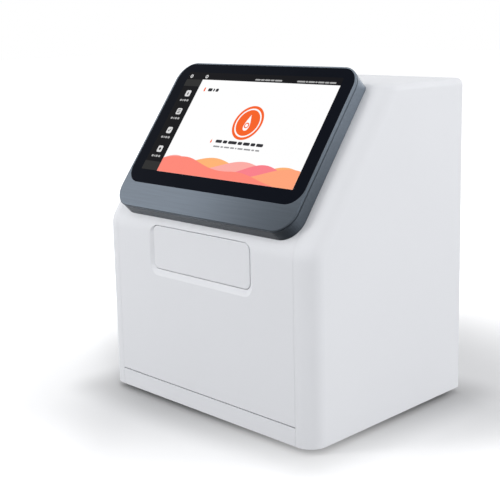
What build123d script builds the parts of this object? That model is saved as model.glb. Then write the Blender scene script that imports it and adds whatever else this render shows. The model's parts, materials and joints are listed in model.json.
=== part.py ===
from build123d import *
from math import acos, atan2, ceil, cos, pi, radians, sin, tan
import os

# A bench-top chemistry analyzer: a white case with a sloping front that carries a
# seven inch display, and a motor-driven drawer that spins a reagent disc.
# Millimetres, X to the right, Y to the back, Z up.
# The origin is on the surface it stands on, in the middle of the overall outline,
# which reaches from the foremost edge of the display to the back of the case.

# Case
width = 210.0
depth = 162.0
height = 234.2
foot_height = 4.0
wall = 2.5
bend_height = 134.0
crest_setback = 75.1
bend_radius = 20.0
edge_radius = 13.0
top_radius = 5.0
cheek = 15.0
joint_gap = 0.15
joint_rise = 16.0
seam_height = 16.8
seam_gap = 0.9
floor_fit = 0.3
boss_radius = 4.0
boss_height = 14.0
boss_inset = 15.0
boss_sink = 1.5
lug_size = 8.0
lug_length = 9.0

# Rear panel
panel_recess = 3.5
panel_thickness = 2.5
panel_fit = 0.3
panel_screw_inset = 9.0
vent_length = 26.0
vent_width = 3.0
vent_pitch = 6.5
vent_count = 12
vent_height = 62.0

# Feet
foot_radius = 9.0
foot_inset_x = 22.0
foot_inset_y = 24.0
foot_recess_radius = 4.5
foot_recess_depth = 2.2
foot_chamfer = 0.8

# Screws
screw_radius = 1.5
screw_head_radius = 2.8
screw_head_height = 1.6
screw_length = 7.0
screw_slack = 0.2
socket_radius = 1.0
socket_depth = 0.9

# Display
display_margin = 15.4
display_side = 9.6
display_low = 6.9
display_high = 131.8
display_rise = 10.5
display_corner = 16.0
display_back_flare = 0.4
display_back_low = 5.8
display_back_corner = 4.0
display_back_drop = 1.0
display_seat_gap = 0.2
bezel_thickness = 1.1
bezel_chamfer = 0.5
neck_length = 1.0
neck_inset = 0.6
glass_low = 26.5
glass_border = 1.6
glass_top_border = 1.3
glass_corner = 13.5
glass_thickness = 1.8
glass_sink = 0.25
glass_fit = 0.15
glass_chamfer = 0.3
lcd_height = 90.0
lcd_corner = 3.0
lcd_middle = 80.2
lcd_thickness = 5.0
lcd_fit = 0.5
lcd_notch = 4.0
window_side = 15.0
window_height = 78.0
driver_board_side = 25.0
driver_board_height = 60.0
driver_chip_size = 14.0
driver_chip_pitch = 52.0
driver_chip_up = 11.0
board_thickness = 1.6
cable_width = 22.0
cable_thickness = 0.6
cable_bend = 2.5
cable_out = 12.0
cable_drop_gap = 5.5
cable_low = 32.0
plug_height = 2.4
plug_length = 6.0
plug_side = 2.0

# Drawer front and its opening
drawer_width = 99.2
drawer_low = 101.6
drawer_high = 133.2
drawer_corner = 5.0
drawer_gap = 0.4
drawer_sink = 1.0
drawer_front_thickness = 3.2
drawer_rim = 0.7
bevel_depth = 1.6
bevel_side = 2.6
bevel_top = 0.7
bevel_bottom = 4.6

# Drawer travel and tray
travel = 90.0
tray_half = 45.5
tray_low = 102.5
tray_high = 116.5
tray_back = 45.0
tray_floor = 2.2
tray_wall = 2.0
tray_top = 2.0
well_radius = 43.5
well_chamfer = 0.8
rail_reach = 3.3
rail_low = 103.6
rail_high = 106.6
rail_fit = 0.3

# Turntable
disc_y = -15.0
turntable_radius = 42.0
turntable_low = 113.0
turntable_thickness = 2.0
seat_height = 117.2
rim_width = 2.5
rib_width = 2.2
seat_count = 3
peg_radius = 1.4
peg_circle = 30.0
hub_radius = 9.0
hub_low = 111.9
nose_radius = 4.0
nose_height = 5.0
nose_chamfer = 0.8
spindle_radius = 1.5
bearing_fit = 0.08
spindle_motor_radius = 14.0
spindle_motor_height = 6.6
spindle_motor_step = 1.0
spindle_motor_crown = 1.0

# Rack and pinion
gear_module = 1.0
pinion_teeth = 16
pressure_angle = 20.0
backlash = 0.12
addendum = 1.0
dedendum = 1.25
rack_pitch_x = 48.0
rack_low = 110.0
rack_high = 114.0
spare_teeth = 2
pinion_gap = 21.0
pinion_hub_radius = 4.0
pinion_hub_low = 99.0
pinion_shaft_radius = 1.5
drive_motor_width = 24.0
drive_motor_length = 34.0
drive_motor_height = 26.0
drive_motor_corner = 2.0
shaft_end_air = 1.0
drive_can_radius = 9.0
drive_can_length = 24.0

# Chassis and guides
deck_height = 98.0
deck_thickness = 1.5
deck_half = 75.0
deck_front_gap = 7.0
deck_back = 54.0
deck_window = 44.0
deck_corner = 4.0
deck_post_radius = 3.0
deck_post_x = 71.5
deck_post_inset = 8.0
deck_post_back = 34.0
guide_air = 0.5
guide_depth = 5.5
guide_high = 109.0
guide_front_air = 1.0
guide_tab_reach = 7.0
guide_tab_length = 12.0
guide_tab_thickness = 2.0
guide_tab_spacing = 70.0

# Heater and optics
heater_low = 127.0
heater_thickness = 3.0
heater_half = 71.0
heater_front = -42.0
heater_back = 52.0
heater_corner = 6.0
heater_post_radius = 3.2
heater_post_x = 66.0
heater_post_front = -35.0
heater_post_back = 45.0
read_circle = 45.0
optics_width = 36.0
optics_length = 34.0
optics_height = 28.0
optics_bore = 8.0
optics_corner = 3.0
lens_radius = 7.5
lens_thickness = 3.0
detector_side = 5.0
detector_end = 3.0
detector_chip_size = 9.0
detector_chip_pitch = 20.0
detector_plug_width = 18.0
detector_plug_length = 5.0
detector_plug_inset = 2.0

# Boards on the floor
board_height = 14.5
standoff_radius = 3.0
board_hole_inset = 5.0
main_board_width = 88.0
main_board_length = 100.0
main_board_x = -22.0
main_board_y = -6.0
power_board_width = 34.0
power_board_length = 84.0
power_board_x = 48.0
power_board_y = -14.0
main_plug_height = 7.0
main_plug_inset = 8.0
main_chip_size = 28.0
chip_width = 14.0
chip_length = 10.0
chip_height = 1.8
chip_across = 30.0
chip_along = 22.0
side_plug_width = 24.0
side_plug_across = 34.0
coil_size = 18.0
coil_corner = 3.0
coil_inset = 34.0
coil_height = 10.0
power_plug_width = 16.0
power_plug_length = 10.0
power_plug_inset = 14.0
capacitor_radius = 5.0
capacitor_height = 16.0
capacitor_pitch = 14.0
capacitor_inset = 30.0
fin_count = 8
fin_height = 14.0
fin_width = 1.4
fin_pitch = 4.2
sink_size = 32.0
sink_base = 3.0

# Fan
fan_size = 60.0
fan_depth = 15.0
fan_bore = 28.5
fan_corner = 4.0
fan_pitch = 50.0
fan_screw_bite = 5.0
fan_hub_chamfer = 1.6
fan_root_sink = 1.0
fan_side = 54.2
fan_z = 172.0
fan_hub_radius = 12.0
fan_tip = 27.5
fan_blades = 7
fan_blade_thickness = 1.3
fan_root_chord = 10.0
fan_tip_chord = 13.0
fan_root_pitch = 48.0
fan_tip_pitch = 28.0
fan_air = 1.2
fan_spoke = 3.5
fan_seat_radius = 11.0
fan_seat_depth = 2.5
grille_rings = 5
grille_slot = 2.6
grille_bar = 2.6
grille_start = 6.0

# Sockets and switch
port_height = 31.0
switch_side = 26.2
switch_width = 15.0
switch_height = 21.0
switch_flange = 1.2
switch_body_depth = 12.0
switch_back = 2.0
switch_corner = 1.5
rocker_width = 10.4
rocker_height = 16.0
rocker_gap = 0.35
rocker_throw = 12.0
rocker_slack = 0.4
rocker_root = 3.6
rocker_waist = 4.0
inlet_x = 44.0
inlet_size = 12.0
inlet_depth = 12.0
inlet_bore = 3.2
inlet_pin = 1.0
usb_x = 14.0
usb_width = 14.5
usb_height = 7.0
usb_pitch = 9.5
usb_depth = 14.0
usb_shell = 0.6
usb_tongue = 1.8
network_x = -16.0
network_width = 16.0
network_height = 14.0
network_depth = 16.0
network_shell = 1.8
network_reach = 12.0
latch_width = 5.0
latch_height = 2.7

# Places that follow from the sizes above
slope = atan2(height - bend_height, crest_setback)
display_reach = display_rise * sin(slope) - bezel_chamfer * cos(slope) - display_low * cos(slope)
front_y = (display_reach - depth) / 2
back_y = front_y + depth
case_y = (front_y + back_y) / 2
slope_plane = Plane(
    origin=(0, front_y, bend_height),
    x_dir=(1, 0, 0),
    z_dir=(0, -sin(slope), cos(slope)),
)
front_half = width / 2 - cheek
floor_top = foot_height + wall
crest_up = (height - bend_height) / sin(slope)
display_width = width - 2 * display_margin
lcd_width = display_width - 2 * display_side
window_width = lcd_width - 2 * window_side
driver_board_width = lcd_width - 2 * driver_board_side
glass_high = display_high - glass_top_border
glass_height = glass_high - glass_low
glass_middle = (glass_high + glass_low) / 2
glass_face = display_rise - glass_sink
lcd_face = glass_face - glass_thickness
driver_board_face = lcd_face - lcd_thickness
drawer_height = drawer_high - drawer_low
drawer_middle = (drawer_high + drawer_low) / 2
drawer_face_y = front_y + drawer_sink
tray_front = drawer_face_y + drawer_front_thickness
guide_front = tray_front + guide_front_air
tray_length = tray_back - tray_front
tray_middle = (tray_back + tray_front) / 2
seat_plane = Plane.XY.offset(seat_height)
pitch_radius = gear_module * pinion_teeth / 2
tooth_pitch = pi * gear_module
pinion_x = -rack_pitch_x - pitch_radius
pinion_y = front_y + pinion_gap
rack_teeth = ceil(travel / tooth_pitch) + 2 * spare_teeth
rack_middle = pinion_y + tooth_pitch * ((rack_teeth - 1) / 2 - spare_teeth)
panel_face_y = back_y - panel_recess
panel_inner_y = panel_face_y - panel_thickness
rear_plane = Plane(origin=(0, panel_face_y, 0), x_dir=(-1, 0, 0), z_dir=(0, 1, 0))
deck_front = front_y + deck_front_gap
deck_post_front = deck_front + deck_post_inset
deck_posts_at = [
    (x, y) for x in (-deck_post_x, deck_post_x) for y in (deck_post_front, deck_post_back)
]
heater_posts_at = [
    (x, y)
    for x in (-heater_post_x, heater_post_x)
    for y in (heater_post_front, heater_post_back)
]
panel_half = width / 2 - wall - panel_fit
fan_x = panel_half - fan_side
switch_x = panel_half - switch_side
panel_low = floor_top + panel_fit
panel_high = height - wall - panel_fit
panel_screws_at = [
    (x * (panel_half - panel_screw_inset), z)
    for x in (-1, 1)
    for z in (
        panel_low + panel_screw_inset + lug_length,
        (panel_low + panel_high) / 2,
        panel_high - panel_screw_inset - lug_length,
    )
]
feet_at = [
    (x * (width / 2 - foot_inset_x), case_y + y * (depth / 2 - foot_inset_y))
    for x in (-1, 1)
    for y in (-1, 1)
]
bosses_at = [
    (
        x * (width / 2 - wall - boss_radius + boss_sink),
        case_y + y * (depth / 2 - boss_inset),
    )
    for x in (-1, 1)
    for y in (-1, 1)
]

power_board_front = power_board_y - power_board_length / 2
cable_x = main_board_x
cable_drop_y = panel_face_y - network_depth - cable_drop_gap
cable_start = lcd_middle - driver_board_height / 3
main_plug_y = main_board_y + main_board_length / 2 - main_plug_inset

os.makedirs("parts", exist_ok=True)


def save(builder, name):
    """Label a finished piece and write it under its own name."""
    builder.part.label = name
    export_step(builder.part, f"parts/{name}.step")


def slope_point(up, out):
    """A point of the side view, measured up the slope and out from it, as (y, z)."""
    return (
        front_y + up * cos(slope) - out * sin(slope),
        bend_height + up * sin(slope) + out * cos(slope),
    )


def case_blank(inset, tail):
    """The solid outline of the case, moved inward by inset.

    The back and the underside run on by tail, so that a cut with it leaves them open."""
    bend_drop = inset * (1 - sin(slope)) / cos(slope)
    crest_shift = inset * (1 - cos(slope)) / sin(slope)
    with BuildPart() as blank:
        with BuildSketch(Plane.YZ):
            with BuildLine():
                FilletPolyline(
                    (front_y + inset, foot_height - tail),
                    (front_y + inset, bend_height - bend_drop),
                    (front_y + crest_setback + crest_shift, height - inset),
                    (back_y + tail, height - inset),
                    (back_y + tail, foot_height - tail),
                    radius=[0, bend_radius - inset, 0, 0, 0],
                    close=True,
                )
            make_face()
        extrude(amount=width / 2 - inset, both=True)
        for cheek in (blank.faces().sort_by(Axis.X)[0], blank.faces().sort_by(Axis.X)[-1]):
            rolled = cheek.edges().sort_by(Axis.Y)[:-1].sort_by(Axis.Z)[1:-1]
            fillet(rolled, radius=edge_radius - inset)
        lid = blank.faces().sort_by(Axis.Z)[-1]
        fillet(lid.edges().sort_by(Axis.Y)[:-1], radius=top_radius - inset)
    return blank.part


def front_zone(half, low):
    """The space of the flat front, from low up round the bend to the joint under the display."""
    margin = 2 * wall
    with BuildPart() as zone:
        with BuildSketch(Plane.YZ):
            with BuildLine():
                Polyline(
                    (front_y - margin, low),
                    (front_y + wall + margin, low),
                    slope_point(joint_rise, -wall - margin),
                    slope_point(joint_rise, margin),
                    (front_y - margin, slope_point(joint_rise, margin)[1]),
                    close=True,
                )
            make_face()
        extrude(amount=half, both=True)
    return zone.part


def drawer_outline(grow, low_grow, high_grow):
    """Rounded rectangle of the drawer front, grown at its sides, its bottom and its top."""
    with BuildSketch(mode=Mode.PRIVATE) as outline:
        with Locations((0, drawer_middle + (high_grow - low_grow) / 2)):
            RectangleRounded(
                drawer_width + 2 * grow,
                drawer_height + low_grow + high_grow,
                drawer_corner + grow,
            )
    return outline.sketch


def facing_front(y):
    """A plane that faces the front at y, with X to the right and Z up."""
    return Plane(origin=(0, y, 0), x_dir=(1, 0, 0), z_dir=(0, -1, 0))


def screw_group(places, plane, name, length=screw_length):
    """Cap screws whose heads rest on a plane, driven against its normal."""
    with BuildPart() as screws:
        with BuildSketch(plane):
            with Locations(*places):
                Circle(screw_head_radius)
        extrude(amount=screw_head_height)
        with BuildSketch(plane):
            with Locations(*places):
                Circle(screw_radius)
        extrude(amount=-length)
        with BuildSketch(plane.offset(screw_head_height)):
            with Locations(*places):
                RegularPolygon(socket_radius, 6)
        extrude(amount=-socket_depth, mode=Mode.SUBTRACT)
    save(screws, name)


# Outer cover: one skin over both sides, the slope and the top
with BuildPart() as outer_cover:
    add(case_blank(0, 0))
    add(case_blank(wall, 4 * wall), mode=Mode.SUBTRACT)
    add(front_zone(front_half, foot_height - wall), mode=Mode.SUBTRACT)
    with BuildSketch(slope_plane.offset(wall)):
        with Locations((0, lcd_middle)):
            Rectangle(window_width, window_height)
    extrude(amount=-3 * wall, mode=Mode.SUBTRACT)
    with BuildSketch(Plane.XY.offset(floor_top + floor_fit)):
        with Locations(*bosses_at):
            Circle(boss_radius)
    extrude(amount=boss_height)
    with BuildSketch(Plane.XY.offset(floor_top + floor_fit)):
        with Locations(*bosses_at):
            Circle(screw_radius + screw_slack)
    extrude(amount=boss_height - wall, mode=Mode.SUBTRACT)
    lug_plane = rear_plane.offset(-panel_thickness - panel_fit)
    with BuildSketch(lug_plane):
        for x, z in panel_screws_at:
            wall_side = Align.MIN if x > 0 else Align.MAX
            with Locations((x - lug_size / 2 * (1 if x > 0 else -1), z)):
                Rectangle(
                    panel_screw_inset + lug_size / 2 + panel_fit + wall / 2,
                    lug_size,
                    align=(wall_side, Align.CENTER),
                )
    extrude(amount=-lug_length)
    with BuildSketch(lug_plane):
        with Locations(*panel_screws_at):
            Circle(screw_radius + screw_slack)
    extrude(amount=-lug_length + wall, mode=Mode.SUBTRACT)
save(outer_cover, "outer_cover")

# Front cover: the flat front with the bevelled mouth of the drawer
with BuildPart() as front_cover:
    add(case_blank(0, 0))
    add(case_blank(wall, 4 * wall), mode=Mode.SUBTRACT)
    add(
        front_zone(front_half - joint_gap, seam_height + seam_gap / 2),
        mode=Mode.INTERSECT,
    )
    with BuildSketch(facing_front(front_y + bevel_depth)):
        add(drawer_outline(drawer_gap, drawer_gap, drawer_gap))
    with BuildSketch(facing_front(front_y - bevel_depth)):
        add(
            drawer_outline(
                drawer_gap + 2 * bevel_side,
                drawer_gap + 2 * bevel_bottom,
                drawer_gap + 2 * bevel_top,
            )
        )
    loft(ruled=True, mode=Mode.SUBTRACT)
    with BuildSketch(facing_front(front_y - wall)):
        add(drawer_outline(drawer_gap, drawer_gap, drawer_gap))
    extrude(amount=-4 * wall, mode=Mode.SUBTRACT)
save(front_cover, "front_cover")

# Base pan: the floor, and the strip that shows below the seam
with BuildPart() as base_pan:
    add(case_blank(wall + floor_fit, 0))
    with BuildSketch(Plane.XY.offset(foot_height)):
        Rectangle(2 * width, 2 * depth)
    extrude(amount=wall, mode=Mode.INTERSECT)
    with BuildSketch(facing_front(front_y)):
        with Locations((0, foot_height)):
            Rectangle(
                2 * (front_half - joint_gap),
                seam_height - seam_gap / 2 - foot_height,
                align=(Align.CENTER, Align.MIN),
            )
    extrude(amount=-wall - floor_fit)
    with BuildSketch(Plane.XY.offset(floor_top)):
        with Locations(*bosses_at):
            Circle(screw_radius + screw_slack)
        with Locations(*feet_at):
            Circle(screw_radius + screw_slack)
    extrude(amount=-wall, mode=Mode.SUBTRACT)
save(base_pan, "base_pan")

# Rubber feet, each with a recess for its screw
with BuildPart() as rubber_feet:
    with BuildSketch(Plane.XY):
        with Locations(*feet_at):
            Circle(foot_radius)
    extrude(amount=foot_height)
    chamfer(rubber_feet.edges().filter_by(GeomType.CIRCLE).group_by(Axis.Z)[0], length=foot_chamfer)
    with BuildSketch(Plane.XY):
        with Locations(*feet_at):
            Circle(foot_recess_radius)
    extrude(amount=foot_recess_depth, mode=Mode.SUBTRACT)
    with BuildSketch(Plane.XY):
        with Locations(*feet_at):
            Circle(screw_radius + screw_slack)
    extrude(amount=foot_height, mode=Mode.SUBTRACT)
save(rubber_feet, "rubber_feet")
under_feet = Plane(origin=(0, 0, foot_recess_depth), x_dir=(1, 0, 0), z_dir=(0, 0, -1))
screw_group([(x, -y) for x, y in feet_at], under_feet, "foot_screws", foot_height)
under_pan = Plane(origin=(0, 0, foot_height), x_dir=(1, 0, 0), z_dir=(0, 0, -1))
screw_group([(x, -y) for x, y in bosses_at], under_pan, "base_screws", 2 * screw_length)

# Display: a thin bezel plate, and behind it a shell that closes on the slope
bezel_back = display_rise - bezel_thickness
shell_front = bezel_back - neck_length


def display_outline(grow, low, high, low_corner, high_corner):
    """Outline of the display on the slope, with its lower and its upper corners apart."""
    with BuildSketch(mode=Mode.PRIVATE) as outline:
        with Locations((0, (low + high) / 2)):
            Rectangle(display_width + 2 * grow, high - low)
        fillet(outline.vertices().sort_by(Axis.Y)[:2], radius=low_corner)
        fillet(outline.vertices().sort_by(Axis.Y)[-2:], radius=high_corner)
    return outline.sketch


def glass_outline(grow):
    """Outline of the cover glass, grown all round."""
    with BuildSketch(mode=Mode.PRIVATE) as outline:
        with Locations((0, glass_middle)):
            RectangleRounded(
                display_width - 2 * (glass_border - grow),
                glass_height + 2 * grow,
                glass_corner + grow,
            )
    return outline.sketch


front_outline = display_outline(0, display_low, display_high, display_corner, display_corner)
with BuildPart() as display_bezel:
    with BuildSketch(slope_plane.offset(display_rise)):
        add(front_outline)
    extrude(amount=-bezel_thickness)
    plate_face = display_bezel.faces().sort_by(Axis(slope_plane.origin, slope_plane.z_dir))[-1]
    chamfer(plate_face.edges(), length=bezel_chamfer)
    with BuildSketch(slope_plane.offset(display_rise)):
        add(glass_outline(0))
    extrude(amount=-bezel_thickness, mode=Mode.SUBTRACT)
save(display_bezel, "display_bezel")

with BuildPart() as display_housing:
    with BuildSketch(slope_plane.offset(shell_front)):
        add(front_outline)
    with BuildSketch(slope_plane.offset(display_seat_gap)):
        add(
            display_outline(
                display_back_flare,
                display_back_low,
                crest_up - display_back_drop,
                display_corner,
                display_back_corner,
            )
        )
    loft(ruled=True)
    with BuildSketch(slope_plane.offset(bezel_back)):
        add(
            display_outline(
                -neck_inset,
                display_low + neck_inset,
                display_high - neck_inset,
                display_corner - neck_inset,
                display_corner - neck_inset,
            )
        )
    extrude(amount=-neck_length)
    with BuildSketch(slope_plane.offset(bezel_back)):
        add(glass_outline(0))
    extrude(amount=lcd_face - bezel_back, mode=Mode.SUBTRACT)
    with BuildSketch(slope_plane.offset(display_rise)):
        with Locations((0, lcd_middle)):
            RectangleRounded(
                lcd_width + 2 * lcd_fit, lcd_height + 2 * lcd_fit, lcd_corner + lcd_fit
            )
    extrude(amount=driver_board_face - display_rise, mode=Mode.SUBTRACT)
    with BuildSketch(slope_plane.offset(display_rise)):
        with Locations((0, lcd_middle)):
            Rectangle(window_width, window_height)
    extrude(amount=-2 * display_rise, mode=Mode.SUBTRACT)
    add(case_blank(-display_seat_gap, 0), mode=Mode.SUBTRACT)
save(display_housing, "display_housing")

# Cover glass, set flush into the surround
with BuildPart() as cover_glass:
    with BuildSketch(slope_plane.offset(lcd_face)):
        add(glass_outline(-glass_fit))
    extrude(amount=glass_thickness)
    glass_edge = cover_glass.faces().sort_by(Axis(slope_plane.origin, slope_plane.z_dir))[-1]
    chamfer(glass_edge.edges(), length=glass_chamfer)
save(cover_glass, "cover_glass")

# Screen module behind the glass: frame, and a step at its connector edge
with BuildPart() as lcd_panel:
    with BuildSketch(slope_plane.offset(driver_board_face)):
        with Locations((0, lcd_middle)):
            RectangleRounded(lcd_width, lcd_height, lcd_corner)
    extrude(amount=lcd_thickness)
    with BuildSketch(slope_plane.offset(driver_board_face)):
        with Locations((0, lcd_middle - lcd_height / 2)):
            Rectangle(lcd_width / 2, lcd_notch, align=(Align.CENTER, Align.MIN))
    extrude(amount=lcd_thickness / 2, mode=Mode.SUBTRACT)
save(lcd_panel, "lcd_panel")

# Driver board on the back of the screen module, with its chips and connector
with BuildPart() as display_board:
    with BuildSketch(slope_plane.offset(driver_board_face)):
        with Locations((0, lcd_middle)):
            Rectangle(driver_board_width, driver_board_height)
    extrude(amount=-board_thickness)
    with BuildSketch(slope_plane.offset(driver_board_face - board_thickness)):
        with Locations((0, lcd_middle + driver_chip_up)):
            with GridLocations(driver_chip_pitch, 0, 2, 1):
                Rectangle(driver_chip_size, driver_chip_size)
        with Locations((cable_x, cable_start)):
            Rectangle(cable_width + 2 * plug_side, plug_length)
    extrude(amount=-plug_height)
save(display_board, "display_board")

# Rear panel with fan grille, vents and the holes for sockets and switch
with BuildPart() as rear_panel:
    add(case_blank(wall + panel_fit, 0))
    with BuildSketch(rear_plane):
        with Locations((0, panel_low)):
            Rectangle(2 * width, height, align=(Align.CENTER, Align.MIN))
    extrude(amount=-panel_thickness, mode=Mode.INTERSECT)
    with BuildSketch(rear_plane):
        with Locations((-fan_x, fan_z)):
            for ring in range(grille_rings, 0, -1):
                ring_outer = grille_start + ring * (grille_slot + grille_bar)
                Circle(ring_outer)
                Circle(ring_outer - grille_slot, mode=Mode.SUBTRACT)
            for turn in (45, 135):
                Rectangle(2 * fan_size, grille_bar, rotation=turn, mode=Mode.SUBTRACT)
            with GridLocations(fan_pitch, fan_pitch, 2, 2):
                Circle(screw_radius + screw_slack)
        with Locations((0, vent_height)):
            with GridLocations(vent_pitch, 0, vent_count, 1):
                SlotOverall(vent_length, vent_width, rotation=90)
        with Locations((-switch_x, port_height)):
            Rectangle(switch_width - 2 * switch_flange, switch_height - 2 * switch_flange)
        with Locations((-inlet_x, port_height)):
            Rectangle(inlet_size, inlet_size)
        with Locations((-usb_x, port_height)):
            with GridLocations(0, usb_pitch, 1, 2):
                Rectangle(usb_width, usb_height)
        with Locations((-network_x, port_height)):
            Rectangle(network_width, network_height)
        with Locations(*panel_screws_at):
            Circle(screw_radius + screw_slack)
    extrude(amount=-panel_thickness, mode=Mode.SUBTRACT)
save(rear_panel, "rear_panel")
screw_group(panel_screws_at, rear_plane, "case_screws")

# Carriage of the drawer
# Drawer front: a flat panel with a softened rim and two bosses for its screws
front_screws_at = [(x * tray_half / 2, (tray_low + tray_high) / 2) for x in (-1, 1)]
with BuildPart() as drawer_front:
    with BuildSketch(facing_front(drawer_face_y)):
        add(drawer_outline(0, 0, 0))
    extrude(amount=-drawer_front_thickness)
    face_rim = drawer_front.faces().sort_by(Axis.Y)[0]
    fillet(face_rim.edges(), radius=drawer_rim)
    with BuildSketch(facing_front(tray_front)):
        with Locations(*front_screws_at):
            Circle(screw_radius)
    extrude(amount=screw_length / 4, mode=Mode.SUBTRACT)
save(drawer_front, "drawer_front")

# Tray: a moulded deck with a round well, pockets under its corners and a rail each side
with BuildPart() as drawer_tray:
    with BuildSketch(Plane.XY.offset(tray_low)):
        with Locations((0, tray_middle)):
            Rectangle(2 * tray_half, tray_length)
    extrude(amount=tray_high - tray_low)
    with BuildSketch(Plane.XY.offset(tray_low)):
        with Locations((0, tray_middle)):
            Rectangle(2 * (tray_half - tray_wall), tray_length - 2 * tray_wall)
        with Locations((0, disc_y)):
            Circle(well_radius + tray_wall, mode=Mode.SUBTRACT)
    extrude(amount=tray_high - tray_low - tray_top, mode=Mode.SUBTRACT)
    with BuildSketch(Plane.XY.offset(tray_low + tray_floor)):
        with Locations((0, disc_y)):
            Circle(well_radius)
    extrude(amount=tray_high - tray_low, mode=Mode.SUBTRACT)
    with BuildSketch(Plane.XY.offset(rail_low)):
        with Locations((0, tray_middle)):
            Rectangle(2 * (tray_half + rail_reach), tray_length)
            Rectangle(2 * tray_half, tray_length, mode=Mode.SUBTRACT)
    extrude(amount=rail_high - rail_low)
    well_mouth = drawer_tray.faces().filter_by(Axis.Z).sort_by(Axis.Z)[-1]
    chamfer(well_mouth.edges().filter_by(GeomType.CIRCLE), length=well_chamfer)
    with BuildSketch(facing_front(tray_front)):
        with Locations(*front_screws_at):
            Circle(screw_radius + screw_slack)
    extrude(amount=-tray_wall, mode=Mode.SUBTRACT)
save(drawer_tray, "drawer_tray")
behind_front = Plane(origin=(0, tray_front + tray_wall, 0), x_dir=(-1, 0, 0), z_dir=(0, 1, 0))
screw_group(front_screws_at, behind_front, "drawer_screws", tray_wall + screw_length / 4)

# Rack on the tray's left flank: straight-sided teeth at the pitch of the pinion
rack_root = rack_pitch_x - dedendum * gear_module
rack_tip = rack_pitch_x + addendum * gear_module
lean = tan(radians(pressure_angle))
tooth_half = tooth_pitch / 4 - backlash / 2
root_half = tooth_half + dedendum * gear_module * lean
tip_half = tooth_half - addendum * gear_module * lean
with BuildPart() as drawer_rack:
    with BuildSketch(Plane.XY.offset(rack_low)):
        with Locations((-(tray_half + rack_root) / 2, rack_middle)):
            Rectangle(rack_root - tray_half, rack_teeth * tooth_pitch)
        with BuildLine():
            Polyline(
                (-rack_root, -root_half),
                (-rack_tip, -tip_half),
                (-rack_tip, tip_half),
                (-rack_root, root_half),
                close=True,
            )
        rack_tooth = make_face(mode=Mode.PRIVATE)
        with Locations((0, rack_middle)):
            with GridLocations(0, tooth_pitch, 1, rack_teeth):
                add(rack_tooth)
    extrude(amount=rack_high - rack_low)
save(drawer_rack, "drawer_rack")


def involute_point(base, radius, half_angle_at_pitch):
    """A point of the tooth's flank at a radius, for a tooth that points along X."""
    rolled = acos(min(1, base / radius))
    at_pitch = radians(pressure_angle)
    half = half_angle_at_pitch + (tan(at_pitch) - at_pitch) - (tan(rolled) - rolled)
    return Vector(radius * cos(half), radius * sin(half))


# Pinion: involute teeth, a hub and a bore for its shaft, with a gap facing the rack
base_circle = pitch_radius * cos(radians(pressure_angle))
root_circle = pitch_radius - dedendum * gear_module
tip_circle = pitch_radius + addendum * gear_module
half_tooth = (tooth_pitch / 2 - backlash) / 2 / pitch_radius
flank_start = involute_point(base_circle, base_circle, half_tooth)
flank_middle = involute_point(base_circle, pitch_radius, half_tooth)
flank_end = involute_point(base_circle, tip_circle, half_tooth)
foot_angle = atan2(flank_start.Y, flank_start.X)
tooth_foot = Vector(root_circle * cos(foot_angle), root_circle * sin(foot_angle))
with BuildPart() as drive_pinion:
    with BuildSketch(Plane.XY.offset(rack_low)):
        with BuildLine():
            Polyline((0, 0), tooth_foot, flank_start)
            ThreePointArc(flank_start, flank_middle, flank_end)
            ThreePointArc(
                flank_end, (tip_circle, 0), Vector(flank_end.X, -flank_end.Y)
            )
            ThreePointArc(
                Vector(flank_end.X, -flank_end.Y),
                Vector(flank_middle.X, -flank_middle.Y),
                Vector(flank_start.X, -flank_start.Y),
            )
            Polyline(
                Vector(flank_start.X, -flank_start.Y),
                Vector(tooth_foot.X, -tooth_foot.Y),
                (0, 0),
            )
        pinion_tooth = make_face(mode=Mode.PRIVATE)
        with Locations((pinion_x, pinion_y)):
            Circle(root_circle)
            with PolarLocations(0, pinion_teeth, start_angle=180 / pinion_teeth):
                add(pinion_tooth)
    extrude(amount=rack_high - rack_low)
    with BuildSketch(Plane.XY.offset(pinion_hub_low)):
        with Locations((pinion_x, pinion_y)):
            Circle(pinion_hub_radius)
    extrude(amount=rack_low - pinion_hub_low)
    with BuildSketch(Plane.XY.offset(pinion_hub_low)):
        with Locations((pinion_x, pinion_y)):
            Circle(pinion_shaft_radius + bearing_fit / 4)
    extrude(amount=rack_high - pinion_hub_low, mode=Mode.SUBTRACT)
save(drive_pinion, "drive_pinion")

# Shaft of the pinion, and the gear motor under the deck that turns it
motor_top = deck_height - deck_thickness
with BuildPart() as pinion_shaft:
    with BuildSketch(Plane.XY.offset(motor_top - drive_motor_height / 2)):
        with Locations((pinion_x, pinion_y)):
            Circle(pinion_shaft_radius)
    extrude(amount=rack_high - motor_top + drive_motor_height / 2)
save(pinion_shaft, "pinion_shaft")

with BuildPart() as drawer_motor:
    with BuildSketch(Plane.XY.offset(motor_top)):
        with Locations((pinion_x, pinion_y + drive_motor_length / 4)):
            RectangleRounded(drive_motor_width, drive_motor_length, drive_motor_corner)
    extrude(amount=-drive_motor_height)
    can_face_y = pinion_y + drive_motor_length * 3 / 4
    with BuildSketch(facing_front(can_face_y)):
        with Locations((pinion_x, motor_top - drive_motor_height / 2)):
            Circle(drive_can_radius)
    extrude(amount=-drive_can_length)
    with BuildSketch(Plane.XY.offset(motor_top)):
        with Locations((pinion_x, pinion_y)):
            Circle(pinion_shaft_radius + bearing_fit)
    extrude(amount=-drive_motor_height / 2 - shaft_end_air, mode=Mode.SUBTRACT)
save(drawer_motor, "drawer_motor")

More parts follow.
